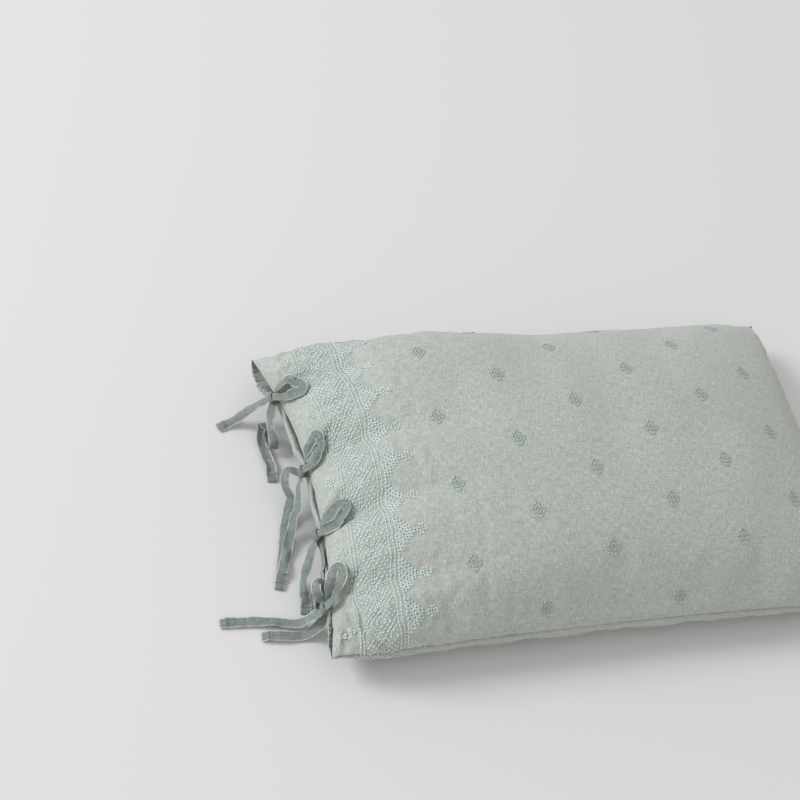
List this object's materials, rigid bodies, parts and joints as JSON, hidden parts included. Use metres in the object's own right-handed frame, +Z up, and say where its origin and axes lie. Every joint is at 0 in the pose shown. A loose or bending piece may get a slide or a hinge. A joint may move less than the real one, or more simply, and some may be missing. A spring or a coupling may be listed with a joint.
{
  "type": "filled pillow sham",
  "caption": "Filled linen pillow sham lying on its back, crowned, seamed on three sides, its open end tied shut with fabric bows.",
  "frame": {"origin": "centre of the flat underside, on the surface it lies on", "axes": "+X from the tied mouth to the closed end, +Y across the case, +Z up out of the front panel"},
  "size_m": [0.9039, 0.495, 0.1725],
  "materials": {
    "case_linen": "washed plain-weave linen in grey-green, with tone-on-tone embroidery",
    "tape_linen": "plain folded strips of the same washed linen, a little darker"
  },
  "bodies": {
    "root": {"case": "case_linen", "tape_front_1": "tape_linen", "tape_back_1": "tape_linen", "tape_front_2": "tape_linen", "tape_back_2": "tape_linen", "tape_front_3": "tape_linen", "tape_back_3": "tape_linen", "tape_front_4": "tape_linen", "tape_back_4": "tape_linen"}
  },
  "joints": []
}
